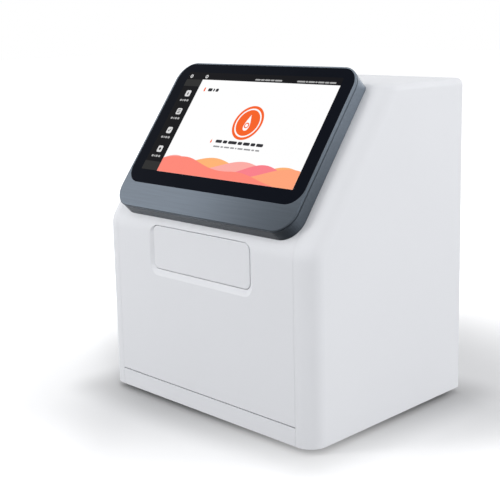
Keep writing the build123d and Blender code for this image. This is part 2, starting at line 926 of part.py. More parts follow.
# Spindle motor on the tray's floor, its shaft, and the turntable that rides on it
with BuildPart() as spindle_motor:
    with BuildSketch(Plane.XY.offset(tray_low + tray_floor)):
        with Locations((0, disc_y)):
            Circle(spindle_motor_radius)
            with PolarLocations(spindle_motor_radius, 3):
                Circle(screw_head_radius)
    extrude(amount=spindle_motor_height / 4)
    with BuildSketch(Plane.XY.offset(tray_low + tray_floor)):
        with Locations((0, disc_y)):
            Circle(spindle_motor_radius - spindle_motor_step)
    extrude(amount=spindle_motor_height)
    crown = spindle_motor.edges().filter_by(GeomType.CIRCLE).sort_by(Axis.Z)[-1]
    chamfer(crown, length=spindle_motor_crown)
    with BuildSketch(Plane.XY.offset(tray_low + tray_floor)):
        with Locations((0, disc_y)):
            Circle(spindle_radius + bearing_fit)
    extrude(amount=spindle_motor_height, mode=Mode.SUBTRACT)
save(spindle_motor, "spindle_motor")

with BuildPart() as spindle_shaft:
    with BuildSketch(Plane.XY.offset(tray_low + tray_floor + bearing_fit)):
        with Locations((0, disc_y)):
            Circle(spindle_radius)
    extrude(amount=seat_height - tray_low - tray_floor)
save(spindle_shaft, "spindle_shaft")

with BuildPart() as turntable:
    with BuildSketch(Plane.XY.offset(turntable_low)):
        with Locations((0, disc_y)):
            Circle(turntable_radius)
    extrude(amount=turntable_thickness)
    with BuildSketch(Plane.XY.offset(turntable_low)):
        with Locations((0, disc_y)):
            Circle(turntable_radius)
            Circle(turntable_radius - rim_width, mode=Mode.SUBTRACT)
        with Locations((0, disc_y)):
            with PolarLocations(turntable_radius / 2, seat_count, start_angle=30):
                Rectangle(turntable_radius - rim_width / 2, rib_width)
            with PolarLocations(peg_circle, seat_count, start_angle=-90):
                Circle(peg_radius)
    extrude(amount=seat_height - turntable_low)
    with BuildSketch(Plane.XY.offset(hub_low)):
        with Locations((0, disc_y)):
            Circle(hub_radius)
    extrude(amount=seat_height - hub_low)
    with BuildSketch(seat_plane):
        with Locations((0, disc_y)):
            Circle(nose_radius)
    extrude(amount=nose_height)
    chamfer(turntable.faces().sort_by(Axis.Z)[-1].edges(), length=nose_chamfer)
    with BuildSketch(Plane.XY.offset(hub_low)):
        with Locations((0, disc_y)):
            Circle(spindle_radius + bearing_fit / 4)
    extrude(amount=seat_height + bearing_fit - hub_low, mode=Mode.SUBTRACT)
save(turntable, "turntable")

# Deck that carries the drawer mechanism, with a hole for the pinion shaft
with BuildPart() as chassis_deck:
    with BuildSketch(Plane.XY.offset(deck_height)):
        with Locations((0, (deck_front + deck_back) / 2)):
            RectangleRounded(2 * deck_half, deck_back - deck_front, deck_corner)
            Rectangle(deck_window, deck_window, mode=Mode.SUBTRACT)
        with Locations((pinion_x, pinion_y)):
            Circle(pinion_shaft_radius + 1, mode=Mode.SUBTRACT)
        with Locations(*deck_posts_at):
            Circle(screw_radius + screw_slack, mode=Mode.SUBTRACT)
    extrude(amount=-deck_thickness)
save(chassis_deck, "chassis_deck")

with BuildPart() as deck_posts:
    with BuildSketch(Plane.XY.offset(floor_top)):
        with Locations(*deck_posts_at):
            RegularPolygon(deck_post_radius, 6)
    extrude(amount=deck_height - deck_thickness - floor_top)
save(deck_posts, "deck_posts")
screw_group(deck_posts_at, Plane.XY.offset(deck_height), "deck_screws", deck_thickness)

# Guides: a grooved bar each side of the tray, screwed down through two tabs
guide_inner = tray_half + guide_air
guide_outer = guide_inner + guide_depth
guide_length = tray_back - guide_front


def make_guide(side, name):
    """The guide on one side: side is -1 for the left and 1 for the right."""
    tabs_at = [
        (side * (guide_outer + guide_tab_reach / 2), y)
        for y in (-guide_tab_spacing / 2, guide_tab_spacing / 2)
    ]
    with BuildPart() as guide:
        with BuildSketch(Plane.XY.offset(deck_height)):
            with Locations((side * (guide_inner + guide_outer) / 2, (guide_front + tray_back) / 2)):
                Rectangle(guide_depth, guide_length)
        extrude(amount=guide_high - deck_height)
        with BuildSketch(Plane.XY.offset(rail_low - rail_fit)):
            with Locations((side * guide_inner, (guide_front + tray_back) / 2)):
                Rectangle(2 * (rail_reach + rail_fit - guide_air), guide_length)
        extrude(amount=rail_high - rail_low + 2 * rail_fit, mode=Mode.SUBTRACT)
        with BuildSketch(Plane.XY.offset(deck_height)):
            with Locations(*tabs_at):
                Rectangle(guide_tab_reach, guide_tab_length)
        extrude(amount=guide_tab_thickness)
        with BuildSketch(Plane.XY.offset(deck_height)):
            with Locations(*tabs_at):
                Circle(screw_radius + screw_slack)
        extrude(amount=guide_tab_thickness, mode=Mode.SUBTRACT)
    save(guide, name)
    return tabs_at


guide_tabs_at = make_guide(-1, "guide_left") + make_guide(1, "guide_right")
guide_screw_plane = Plane.XY.offset(deck_height + guide_tab_thickness)
screw_group(guide_tabs_at, guide_screw_plane, "guide_screws", guide_tab_thickness)

# Heater plate over the disc, on four posts, with a window for the optics
read_y = disc_y + read_circle
with BuildPart() as heater_plate:
    with BuildSketch(Plane.XY.offset(heater_low)):
        with Locations((0, (heater_front + heater_back) / 2)):
            RectangleRounded(2 * heater_half, heater_back - heater_front, heater_corner)
        with Locations((0, read_y)):
            Circle(optics_bore, mode=Mode.SUBTRACT)
        with Locations(*heater_posts_at):
            Circle(screw_radius + screw_slack, mode=Mode.SUBTRACT)
    extrude(amount=heater_thickness)
save(heater_plate, "heater_plate")

with BuildPart() as heater_posts:
    with BuildSketch(Plane.XY.offset(deck_height)):
        with Locations(*heater_posts_at):
            RegularPolygon(heater_post_radius, 6)
    extrude(amount=heater_low - deck_height)
save(heater_posts, "heater_posts")
heater_top = Plane.XY.offset(heater_low + heater_thickness)
screw_group(heater_posts_at, heater_top, "heater_screws", heater_thickness)

# Optical head on the heater plate, its lens, and the detector board on top of it
with BuildPart() as optical_head:
    with BuildSketch(heater_top):
        with Locations((0, read_y)):
            RectangleRounded(optics_width, optics_length, optics_corner)
    extrude(amount=optics_height)
    with BuildSketch(heater_top):
        with Locations((0, read_y)):
            Circle(lens_radius)
    extrude(amount=optics_height * 3 / 4, mode=Mode.SUBTRACT)
save(optical_head, "optical_head")

with BuildPart() as objective_lens:
    with BuildSketch(heater_top.offset(lens_thickness)):
        with Locations((0, read_y)):
            Circle(lens_radius - bearing_fit)
    extrude(amount=lens_thickness)
    chamfer(objective_lens.edges().filter_by(GeomType.CIRCLE), length=lens_thickness / 3)
save(objective_lens, "objective_lens")

with BuildPart() as detector_board:
    with BuildSketch(heater_top.offset(optics_height)):
        with Locations((0, read_y)):
            Rectangle(optics_width + 2 * detector_side, optics_length + 2 * detector_end)
    extrude(amount=board_thickness)
    with BuildSketch(heater_top.offset(optics_height + board_thickness)):
        with Locations((0, read_y)):
            with GridLocations(detector_chip_pitch, 0, 2, 1):
                Rectangle(detector_chip_size, detector_chip_size)
        with Locations((0, read_y + optics_length / 2 - detector_plug_inset)):
            Rectangle(detector_plug_width, detector_plug_length)
    extrude(amount=plug_height)
save(detector_board, "detector_board")


def board_corners(x, y, across, along):
    """The four screw places of a board with its middle at x, y."""
    return [
        (x + i * (across / 2 - board_hole_inset), y + j * (along / 2 - board_hole_inset))
        for i in (-1, 1)
        for j in (-1, 1)
    ]


main_corners = board_corners(main_board_x, main_board_y, main_board_width, main_board_length)
power_corners = board_corners(
    power_board_x, power_board_y, power_board_width, power_board_length
)
board_top = Plane.XY.offset(board_height + board_thickness)

# Main board with its chips and plugs
with BuildPart() as main_board:
    with BuildSketch(Plane.XY.offset(board_height)):
        with Locations((main_board_x, main_board_y)):
            Rectangle(main_board_width, main_board_length)
        with Locations(*main_corners):
            Circle(screw_radius + screw_slack, mode=Mode.SUBTRACT)
    extrude(amount=board_thickness)
    with BuildSketch(board_top):
        with Locations((main_board_x, main_board_y)):
            Rectangle(main_chip_size, main_chip_size)
            with GridLocations(2 * chip_across, 2 * chip_along, 2, 2):
                Rectangle(chip_width, chip_length)
    extrude(amount=chip_height)
    with BuildSketch(board_top):
        with Locations((main_board_x - side_plug_across, main_board_y)):
            Rectangle(plug_length, side_plug_width)
        with Locations((cable_x, main_plug_y)):
            Rectangle(cable_width + 2 * plug_side, plug_length)
    extrude(amount=main_plug_height)
save(main_board, "main_board")

# Flat cable from the driver board, back over the optics and down to the main board
cable_side = Plane(origin=(cable_x, 0, 0), x_dir=(0, 1, 0), z_dir=(1, 0, 0))
with BuildPart() as display_cable:
    with BuildSketch(cable_side):
        with BuildLine():
            cable_top = slope_point(cable_start, driver_board_face - board_thickness - plug_height)
            cable_turn = slope_point(
                cable_start, driver_board_face - board_thickness - plug_height - cable_out
            )
            FilletPolyline(
                cable_top,
                cable_turn,
                (cable_drop_y, cable_turn[1]),
                (cable_drop_y, cable_low),
                (main_plug_y, cable_low),
                (main_plug_y, board_height + board_thickness + main_plug_height),
                radius=cable_bend,
            )
        trace(line_width=cable_thickness)
    extrude(amount=cable_width / 2, both=True)
save(display_cable, "display_cable")

# Heat sink on the main chip
with BuildPart() as heat_sink:
    with BuildSketch(board_top.offset(chip_height)):
        with Locations((main_board_x, main_board_y)):
            Rectangle(sink_size, sink_size)
    extrude(amount=sink_base)
    with BuildSketch(board_top.offset(chip_height + sink_base)):
        with Locations((main_board_x, main_board_y)):
            with GridLocations(fin_pitch, 0, fin_count, 1):
                Rectangle(fin_width, sink_size)
    extrude(amount=fin_height)
save(heat_sink, "heat_sink")

# Power board with its coil, capacitors and plug
with BuildPart() as power_board:
    with BuildSketch(Plane.XY.offset(board_height)):
        with Locations((power_board_x, power_board_y)):
            Rectangle(power_board_width, power_board_length)
        with Locations(*power_corners):
            Circle(screw_radius + screw_slack, mode=Mode.SUBTRACT)
    extrude(amount=board_thickness)
    with BuildSketch(board_top):
        with Locations((power_board_x, power_board_y + power_board_length / 2 - coil_inset)):
            RectangleRounded(coil_size, coil_size, coil_corner)
        with Locations((power_board_x, power_board_front + power_plug_inset)):
            Rectangle(power_plug_width, power_plug_length)
    extrude(amount=coil_height)
    with BuildSketch(board_top):
        with Locations((power_board_x, power_board_front + capacitor_inset)):
            with GridLocations(capacitor_pitch, 0, 2, 1):
                Circle(capacitor_radius)
    extrude(amount=capacitor_height)
save(power_board, "power_board")

with BuildPart() as board_standoffs:
    with BuildSketch(Plane.XY.offset(floor_top)):
        with Locations(*(main_corners + power_corners)):
            RegularPolygon(standoff_radius, 6)
    extrude(amount=board_height - floor_top)
save(board_standoffs, "board_standoffs")
screw_group(main_corners + power_corners, board_top, "board_screws", board_thickness)

# Fan: a square frame with spokes behind, and a seven-bladed rotor
fan_plane = Plane(origin=(fan_x, panel_inner_y, fan_z), x_dir=(1, 0, 0), z_dir=(0, -1, 0))
with BuildPart() as fan_frame:
    with BuildSketch(fan_plane):
        RectangleRounded(fan_size, fan_size, fan_corner)
        Circle(fan_bore, mode=Mode.SUBTRACT)
        with GridLocations(fan_pitch, fan_pitch, 2, 2):
            Circle(screw_radius + screw_slack, mode=Mode.SUBTRACT)
    extrude(amount=fan_depth)
    with BuildSketch(fan_plane.offset(fan_depth)):
        Circle(fan_seat_radius)
        for turn in (0, 90):
            Rectangle(2 * fan_bore + fan_root_sink, fan_spoke, rotation=turn + 45)
    extrude(amount=-fan_seat_depth)
save(fan_frame, "fan_frame")
fan_screw_places = [(-fan_x + i * fan_pitch / 2, fan_z + j * fan_pitch / 2)
                    for i in (-1, 1) for j in (-1, 1)]
screw_group(fan_screw_places, rear_plane, "fan_screws", panel_thickness + fan_screw_bite)

with BuildPart() as fan_rotor:
    with BuildSketch(fan_plane.offset(fan_air)):
        Circle(fan_hub_radius)
    extrude(amount=fan_depth - fan_seat_depth - 2 * fan_air)
    hub_rim = fan_rotor.edges().filter_by(GeomType.CIRCLE).sort_by(Axis.Y)[-1]
    chamfer(hub_rim, length=fan_hub_chamfer)
    blade_middle = fan_air + (fan_depth - fan_seat_depth - 2 * fan_air) / 2
    for blade in range(fan_blades):
        around = 2 * pi * blade / fan_blades
        outward = Vector(cos(around), 0, sin(around))
        centre = Vector(fan_x, panel_inner_y - blade_middle, fan_z)
        for reach, chord, turn in (
            (fan_hub_radius - fan_root_sink, fan_root_chord, fan_root_pitch),
            (fan_tip, fan_tip_chord, fan_tip_pitch),
        ):
            across = Plane(origin=centre + outward * reach, x_dir=(0, 1, 0), z_dir=outward)
            with BuildSketch(across):
                Rectangle(chord, fan_blade_thickness, rotation=90 - turn)
        loft()
save(fan_rotor, "fan_rotor")

# Mains rocker in its frame
with BuildPart() as switch_frame:
    with BuildSketch(rear_plane):
        with Locations((-switch_x, port_height)):
            RectangleRounded(switch_width + switch_flange, switch_height + switch_flange, switch_corner)
    extrude(amount=switch_flange)
    with BuildSketch(rear_plane):
        with Locations((-switch_x, port_height)):
            Rectangle(
                switch_width - 2 * switch_flange - panel_fit,
                switch_height - 2 * switch_flange - panel_fit,
            )
    extrude(amount=-switch_body_depth)
    with BuildSketch(rear_plane.offset(switch_flange)):
        with Locations((-switch_x, port_height)):
            Rectangle(rocker_width + 2 * rocker_gap, rocker_height + 2 * rocker_gap)
    extrude(amount=switch_back - switch_flange - switch_body_depth, mode=Mode.SUBTRACT)
save(switch_frame, "switch_frame")

# Rocker: a shallow V seen from the side, that tips about a pin across its middle
rocker_plane = Plane(origin=(switch_x, panel_face_y, port_height), x_dir=(0, 1, 0), z_dir=(1, 0, 0))
rocker_tip = rocker_height / 2 - rocker_slack
with BuildPart() as power_rocker:
    with BuildSketch(rocker_plane):
        with BuildLine():
            Polyline(
                (-rocker_root, -rocker_waist),
                (switch_flange, -rocker_tip),
                (switch_flange, 0),
                (switch_flange + rocker_tip * sin(radians(rocker_throw)), rocker_tip),
                (-rocker_root, rocker_waist),
                close=True,
            )
        make_face()
    extrude(amount=rocker_width / 2, both=True)
save(power_rocker, "power_rocker")

# Low-voltage inlet: a square body with a round socket and its centre pin
with BuildPart() as dc_inlet:
    with BuildSketch(rear_plane):
        with Locations((-inlet_x, port_height)):
            Rectangle(inlet_size - panel_fit, inlet_size - panel_fit)
            Circle(inlet_bore, mode=Mode.SUBTRACT)
            Circle(inlet_pin)
    extrude(amount=-inlet_depth)
    with BuildSketch(rear_plane.offset(-inlet_depth)):
        with Locations((-inlet_x, port_height)):
            Rectangle(inlet_size - panel_fit, inlet_size - panel_fit)
    extrude(amount=-wall)
save(dc_inlet, "dc_inlet")

# Two stacked bus sockets in one metal shell each
with BuildPart() as usb_sockets:
    with BuildSketch(rear_plane):
        with Locations((-usb_x, port_height)):
            with GridLocations(0, usb_pitch, 1, 2):
                Rectangle(usb_width - panel_fit, usb_height - panel_fit)
    extrude(amount=-usb_depth)
    with BuildSketch(rear_plane):
        with Locations((-usb_x, port_height)):
            with GridLocations(0, usb_pitch, 1, 2):
                Rectangle(
                    usb_width - panel_fit - 2 * usb_shell, usb_height - panel_fit - 2 * usb_shell
                )
        with Locations((-usb_x, port_height + usb_tongue / 2)):
            with GridLocations(0, usb_pitch, 1, 2):
                Rectangle(usb_width - 2 * usb_tongue, usb_tongue, mode=Mode.SUBTRACT)
    extrude(amount=-usb_depth + wall, mode=Mode.SUBTRACT)
save(usb_sockets, "usb_sockets")

# Network socket with its latch notch
with BuildPart() as network_socket:
    with BuildSketch(rear_plane):
        with Locations((-network_x, port_height)):
            Rectangle(network_width - panel_fit, network_height - panel_fit)
    extrude(amount=-network_depth)
    with BuildSketch(rear_plane):
        with Locations((-network_x, port_height)):
            Rectangle(
                network_width - 2 * network_shell,
                network_height - 2 * network_shell - latch_height,
            )
            with Locations((0, network_height / 2 - network_shell - latch_height / 2)):
                Rectangle(latch_width, latch_height)
    extrude(amount=-network_reach, mode=Mode.SUBTRACT)
save(network_socket, "network_socket")
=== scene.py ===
import json
import math

import bmesh
import bpy
from mathutils import Matrix, Vector


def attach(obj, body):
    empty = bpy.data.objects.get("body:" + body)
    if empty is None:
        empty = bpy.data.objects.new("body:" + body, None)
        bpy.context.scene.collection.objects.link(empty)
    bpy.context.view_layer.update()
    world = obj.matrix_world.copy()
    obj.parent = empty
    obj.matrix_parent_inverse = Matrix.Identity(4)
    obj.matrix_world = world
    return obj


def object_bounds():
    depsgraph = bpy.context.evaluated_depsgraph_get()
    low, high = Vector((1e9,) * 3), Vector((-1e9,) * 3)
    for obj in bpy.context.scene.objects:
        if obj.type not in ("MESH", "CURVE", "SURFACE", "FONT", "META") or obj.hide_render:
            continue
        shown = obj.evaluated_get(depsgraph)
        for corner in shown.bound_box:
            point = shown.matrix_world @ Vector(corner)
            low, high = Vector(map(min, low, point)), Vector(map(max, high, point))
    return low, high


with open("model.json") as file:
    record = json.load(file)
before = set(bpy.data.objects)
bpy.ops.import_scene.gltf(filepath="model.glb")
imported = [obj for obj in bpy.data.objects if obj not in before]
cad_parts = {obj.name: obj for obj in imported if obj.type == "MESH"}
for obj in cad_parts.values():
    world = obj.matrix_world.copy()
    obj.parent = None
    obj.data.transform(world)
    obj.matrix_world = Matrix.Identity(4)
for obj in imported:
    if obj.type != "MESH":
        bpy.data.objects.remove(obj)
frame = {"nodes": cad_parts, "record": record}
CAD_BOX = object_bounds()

# Looks of a bench-top chemistry analyzer: its finishes, the picture on its screen, the
# marks on its power rocker, and the room. The construction comes from the frame. Lengths
# are metres, but names that end in _MM and the outlines of flat pieces are millimetres.

MM = 0.001
NODES = frame["nodes"]


def mm(value):
    """Millimetres as metres."""
    return value * MM


# Places read from the frame

LOOKS_UP = 0.3  # least z of the normal of a face that looks up and forwards


def directions_of_slope():
    """Unit vectors of the display's slope: across, up along it, and out of it."""
    faces = NODES["cover_glass"].data.polygons
    front = max((face for face in faces if face.normal.z > LOOKS_UP), key=lambda face: face.area)
    out = front.normal.copy()
    across = Vector((1, 0, 0))
    return across, out.cross(across).normalized(), out


def span(node, direction):
    """Lowest and highest reach of a node's points along a direction."""
    reach = [direction.dot(vertex.co) for vertex in NODES[node].data.vertices]
    return min(reach), max(reach)


ACROSS, UP, OUT = directions_of_slope()
LCD_MIDDLE = sum(span("lcd_panel", UP)) / 2
GLASS_FACE = span("cover_glass", OUT)[1]
SHELL_LOW = span("display_housing", UP)[0]
SHELL_SIDE = span("display_housing", ACROSS)[1]
LOWER_RIGHT = ACROSS * SHELL_SIDE + UP * SHELL_LOW + OUT * GLASS_FACE


def screen_point(x_mm, y_mm, lift):
    """A point over the glass, from the middle of the lit screen, lifted off it by metres."""
    return ACROSS * mm(x_mm) + UP * (LCD_MIDDLE + mm(y_mm)) + OUT * (GLASS_FACE + lift)


# Node helpers


class Tree:
    """A node tree, with short calls that add nodes and return what they put out."""

    def __init__(self, owner):
        owner.use_nodes = True
        self.nodes = owner.node_tree.nodes
        self.links = owner.node_tree.links

    def add(self, kind, inputs=None, **settings):
        """Add a node; each input is linked to a socket or holds a plain value."""
        node = self.nodes.new("ShaderNode" + kind)
        for key, value in settings.items():
            setattr(node, key, value)
        for key, value in (inputs or {}).items():
            if isinstance(value, bpy.types.NodeSocket):
                self.links.new(value, node.inputs[key])
            else:
                node.inputs[key].default_value = value
        return node

    def maths(self, operation, *numbers):
        """A number from numbers."""
        return self.add("Math", dict(enumerate(numbers)), operation=operation).outputs["Value"]

    def vector(self, operation, *vectors):
        """A vector from one vector or two."""
        node = self.add("VectorMath", dict(enumerate(vectors)), operation=operation)
        return node.outputs["Vector"]

    def measure(self, operation, *vectors):
        """A number from one vector or two, such as a length or a distance."""
        node = self.add("VectorMath", dict(enumerate(vectors)), operation=operation)
        return node.outputs["Value"]

    def scaled(self, vector, factor):
        """A vector or colour times a number."""
        node = self.add("VectorMath", {0: vector, "Scale": factor}, operation="SCALE")
        return node.outputs["Vector"]

    def smooth(self, value, start, end, low, high):
        """Run from low to high, with soft ends, as a value goes from start to end."""
        inputs = {"Value": value, "From Min": start, "From Max": end, "To Min": low, "To Max": high}
        return self.add("MapRange", inputs, interpolation_type="SMOOTHSTEP").outputs["Result"]

    def seen_directly(self):
        """1 for rays from the camera, off a mirror or through clear pieces, else 0."""
        path = self.add("LightPath")
        value = path.outputs["Is Camera Ray"]
        for ray in ("Is Glossy Ray", "Is Transmission Ray"):
            value = self.maths("MAXIMUM", value, path.outputs[ray])
        return value


class Shader(Tree):
    """A material's tree around a principled shader."""

    def __init__(self, name):
        self.material = bpy.data.materials.new(name)
        super().__init__(self.material)
        self.main = self.nodes["Principled BSDF"]
        self.place = self.add("TexCoord").outputs["Object"]

    def set(self, **sockets):
        """Set constants on the principled shader; underscores stand for spaces."""
        for key, value in sockets.items():
            self.main.inputs[key.replace("_", " ")].default_value = value

    def feed(self, socket, output):
        """Link an output to a socket of the principled shader."""
        self.links.new(output, self.main.inputs[socket])

    def noise(self, scale, detail=3.0, roughness=0.5, stretch=None):
        """Noise over the object's own coordinates, as a value from 0 to 1."""
        source = self.place
        if stretch:
            source = self.add("Mapping", {"Vector": source, "Scale": stretch}).outputs["Vector"]
        inputs = {"Vector": source, "Scale": scale, "Detail": detail, "Roughness": roughness}
        return self.add("TexNoise", inputs).outputs["Fac"]

    def ramp(self, fac, low, high):
        """Run between two colours; low and high are each a place and a colour."""
        node = self.add("ValToRGB", {"Fac": fac})
        for element, (place, colour) in zip(node.color_ramp.elements, (low, high)):
            element.position = place
            element.color = (*colour, 1)
        return node.outputs["Color"]

    def mottled(self, fac, colour, low, high, places=(0.3, 0.7)):
        """A colour whose brightness runs between two factors."""
        stops = [(place, shade(colour, factor)) for place, factor in zip(places, (low, high))]
        return self.ramp(fac, *stops)

    def spread(self, fac, low, high):
        """Map a value from 0..1 to low..high."""
        inputs = {"Value": fac, "To Min": low, "To Max": high}
        return self.add("MapRange", inputs).outputs["Result"]

    def bump(self, height, strength, distance):
        """Surface relief from a height value; distance in metres."""
        inputs = {"Height": height, "Strength": strength, "Distance": distance}
        self.feed("Normal", self.add("Bump", inputs).outputs["Normal"])


def shade(colour, factor):
    """A colour made lighter or darker by a factor."""
    return tuple(min(1.0, part * factor) for part in colour)


# Materials. Noise scales are in cycles a metre.

DRIFT_SCALE = 9.0
GLOSS_SCALE = 55.0
MOULD_SCALE = 2200.0
PAINT_SCALE = 900.0
BRUSH_SCALE = 420.0
RUBBER_SCALE = 1500.0
TRACK_SCALE = 260.0
BLOOM_SCALE = 160.0
SMEAR_SCALE = 34.0
PIXEL_SCALE = 900.0

PAINT_STRETCH = (0.03, 1, 1)
PAINT_TINT = (0.55, 0.76, 1.0, 1)
TRACK_GAP = 0.012
CLEAR_GLASS_IOR = 1.52
SCREEN_IOR = 1.1  # an anti-glare face mirrors less than plain glass
BLACK_DEEP = (0.0016, 0.0028, 0.0066)
BLACK_SMEARED = (0.0026, 0.0040, 0.0084)
SCREEN_OFF = (0.002, 0.002, 0.003, 1)

# Start and end of a run, and the tone factors there, for the painted shade of the display surround
CORNER_PAINTED_SHADE = (0.0, 0.12, 0.55, 1.42)  # over the distance from the surround's lower right
UNDERSIDE_PAINTED_SHADE = (-0.9, -0.2, 0.26, 1.0)  # over how far a face looks up along the slope


def plastic(name, colour, roughness, vary=0.02, shine=0.5):
    """Moulded plastic: slight drift of tone, uneven gloss and a fine spark-eroded grain."""
    shader = Shader(name)
    drift = shader.noise(DRIFT_SCALE, detail=2.0)
    shader.feed("Base Color", shader.mottled(drift, colour, 1 - vary, 1 + vary))
    gloss = shader.noise(GLOSS_SCALE)
    shader.feed("Roughness", shader.spread(gloss, roughness * 0.92, roughness * 1.08))
    shader.bump(shader.noise(MOULD_SCALE, detail=2.0), strength=0.35, distance=0.00002)
    shader.set(Specular_IOR_Level=shine)
    return shader.material


def satin_paint(name, colour, roughness):
    """Satin paint over a finely brushed surround.

    Streaks run across it, and painted shade darkens it towards the lower right corner
    and on its underside, which faces down."""
    shader = Shader(name)
    streaks = shader.noise(PAINT_SCALE, stretch=PAINT_STRETCH)
    corner = shader.measure("DISTANCE", shader.place, LOWER_RIGHT)
    normal = shader.add("NewGeometry").outputs["True Normal"]
    facing = shader.measure("DOT_PRODUCT", normal, UP)
    # painted shade: darker towards the lower right corner and on faces that look down
    painted_shade = shader.maths(
        "MULTIPLY", shader.smooth(corner, *CORNER_PAINTED_SHADE), shader.smooth(facing, *UNDERSIDE_PAINTED_SHADE)
    )
    tone = shader.mottled(streaks, colour, 0.95, 1.05)
    shader.feed("Base Color", shader.scaled(tone, painted_shade))
    shader.feed("Roughness", shader.spread(streaks, roughness * 0.9, roughness * 1.15))
    shader.bump(streaks, strength=0.1, distance=0.000006)
    shader.set(Specular_IOR_Level=0.14, Specular_Tint=PAINT_TINT)
    return shader.material


def metal(name, colour, roughness, brushed=(1, 1, 1)):
    """Worked metal: streaks along the direction it was brushed or turned in."""
    shader = Shader(name)
    streaks = shader.noise(BRUSH_SCALE, detail=4.0, stretch=brushed)
    shader.feed("Base Color", shader.mottled(streaks, colour, 0.88, 1.08))
    shader.feed("Roughness", shader.spread(streaks, roughness * 0.8, roughness * 1.25))
    shader.bump(streaks, strength=0.3, distance=0.00001)
    shader.set(Metallic=1.0)
    return shader.material


def rubber(name, colour):
    """Dull moulded rubber with dust in its grain."""
    shader = Shader(name)
    grain = shader.noise(RUBBER_SCALE, detail=4.0)
    shader.feed("Base Color", shader.mottled(grain, colour, 1.0, 1.7, (0.4, 0.75)))
    shader.feed("Roughness", shader.spread(grain, 0.75, 0.92))
    shader.bump(grain, strength=0.5, distance=0.00005)
    return shader.material


def circuit_board(name, mask):
    """Solder mask over copper: rows of tracks and pads show through the lacquer."""
    shader = Shader(name)
    inputs = {
        "Vector": shader.place,
        "Scale": TRACK_SCALE,
        "Mortar Size": TRACK_GAP,
        "Color1": (*mask, 1),
        "Color2": (*shade(mask, 0.75), 1),
        "Mortar": (*shade(mask, 1.9), 1),
    }
    tracks = shader.add("TexBrick", inputs)
    shader.feed("Base Color", tracks.outputs["Color"])
    shader.bump(tracks.outputs["Fac"], strength=0.4, distance=0.00004)
    shader.set(Roughness=0.35, Coat_Weight=0.4, Coat_Roughness=0.2)
    return shader.material


def clear_glass(name, tint):
    """Ground optical glass with a faint bloom on its surface."""
    shader = Shader(name)
    bloom = shader.noise(BLOOM_SCALE)
    shader.feed("Base Color", shader.mottled(bloom, tint, 1.0, 0.95, (0.3, 0.8)))
    shader.feed("Roughness", shader.spread(bloom, 0.02, 0.06))
    shader.set(Transmission_Weight=1.0, IOR=CLEAR_GLASS_IOR)
    return shader.material


def black_glass(name):
    """Cover glass printed black behind: deep colour, a hard clean gloss, faint smears."""
    shader = Shader(name)
    smear = shader.noise(SMEAR_SCALE, detail=5.0, roughness=0.6)
    shader.feed("Base Color", shader.ramp(smear, (0.3, BLACK_DEEP), (0.8, BLACK_SMEARED)))
    shader.feed("Roughness", shader.spread(smear, 0.05, 0.09))
    shader.set(IOR=SCREEN_IOR)
    return shader.material


def lit(name, colour):
    """A glowing part of the screen under its glass."""
    shader = Shader(name)
    pixels = shader.noise(PIXEL_SCALE, detail=1.0)
    shader.feed("Emission Color", shader.mottled(pixels, colour, 0.985, 1.0, (0.35, 0.65)))
    shader.set(Base_Color=SCREEN_OFF, Emission_Strength=1.0, Roughness=0.08, IOR=SCREEN_IOR)
    return shader.material


# Finishes of the CAD nodes

CREASE_DEGREES = 28.0


def make_finishes():
    """One material for each material slot of the record, given to the slot's nodes."""
    finishes = {
        "case_white": plastic("case_white", (0.74, 0.75, 0.775), 0.55, vary=0.008, shine=0.2),
        "display_grey": satin_paint("display_grey", (0.125, 0.146, 0.172), 0.24),
        "fan_black": plastic("black_plastic", (0.022, 0.022, 0.024), 0.5),
        "screen_glass": black_glass("screen_glass"),
        "screen": plastic("screen_frame", (0.05, 0.05, 0.055), 0.35),
        "foot_rubber": rubber("foot_rubber", (0.018, 0.018, 0.019)),
        "screw_steel": metal("screw_steel", (0.42, 0.42, 0.44), 0.34),
        "shaft_steel": metal("shaft_steel", (0.62, 0.62, 0.64), 0.22, (1, 1, 12)),
        "deck_steel": metal("deck_steel", (0.52, 0.53, 0.55), 0.38, (0.15, 1, 1)),
        "post_brass": metal("post_brass", (0.68, 0.52, 0.24), 0.3),
        "guide_plastic": plastic("guide_plastic", (0.66, 0.65, 0.61), 0.45),
        "tray_plastic": plastic("tray_plastic", (0.045, 0.048, 0.053), 0.46),
        "turntable_plastic": plastic("turntable_plastic", (0.085, 0.09, 0.098), 0.38),
        "motor_metal": metal("motor_metal", (0.36, 0.36, 0.38), 0.36, (1, 0.2, 1)),
        "plate_aluminium": metal("plate_aluminium", (0.72, 0.73, 0.75), 0.32, (0.2, 1, 1)),
        "optics_black": plastic("optics_black", (0.02, 0.02, 0.021), 0.6),
        "lens_glass": clear_glass("lens_glass", (0.86, 0.92, 0.98)),
        "board_green": circuit_board("board_green", (0.02, 0.12, 0.05)),
        "cable_white": plastic("cable_white", (0.7, 0.7, 0.68), 0.5),
        "socket_metal": metal("socket_metal", (0.6, 0.6, 0.62), 0.3, (1, 0.3, 1)),
    }
    for row in frame["record"]["subparts"]:
        mesh = NODES[row["node"]].data
        mesh.materials.clear()
        mesh.materials.append(finishes[row["material_slot"]])


def smooth_nodes():
    """Shade the CAD nodes smooth, with creases only at real edges."""
    for node in NODES.values():
        node.data.shade_smooth()
        node.data.set_sharp_from_angle(angle=math.radians(CREASE_DEGREES))


# Outlines of flat pieces: lists of x, y in millimetres

FULL_TURN = 2 * math.pi
DROP_WIDTH = 0.62  # of its height
DROP_POINT = 1.6  # how sharply a drop tapers


def disc(middle, radius, steps=40):
    """Outline of a disc."""
    angles = [FULL_TURN * k / steps for k in range(steps)]
    return [(middle[0] + radius * math.cos(a), middle[1] + radius * math.sin(a)) for a in angles]


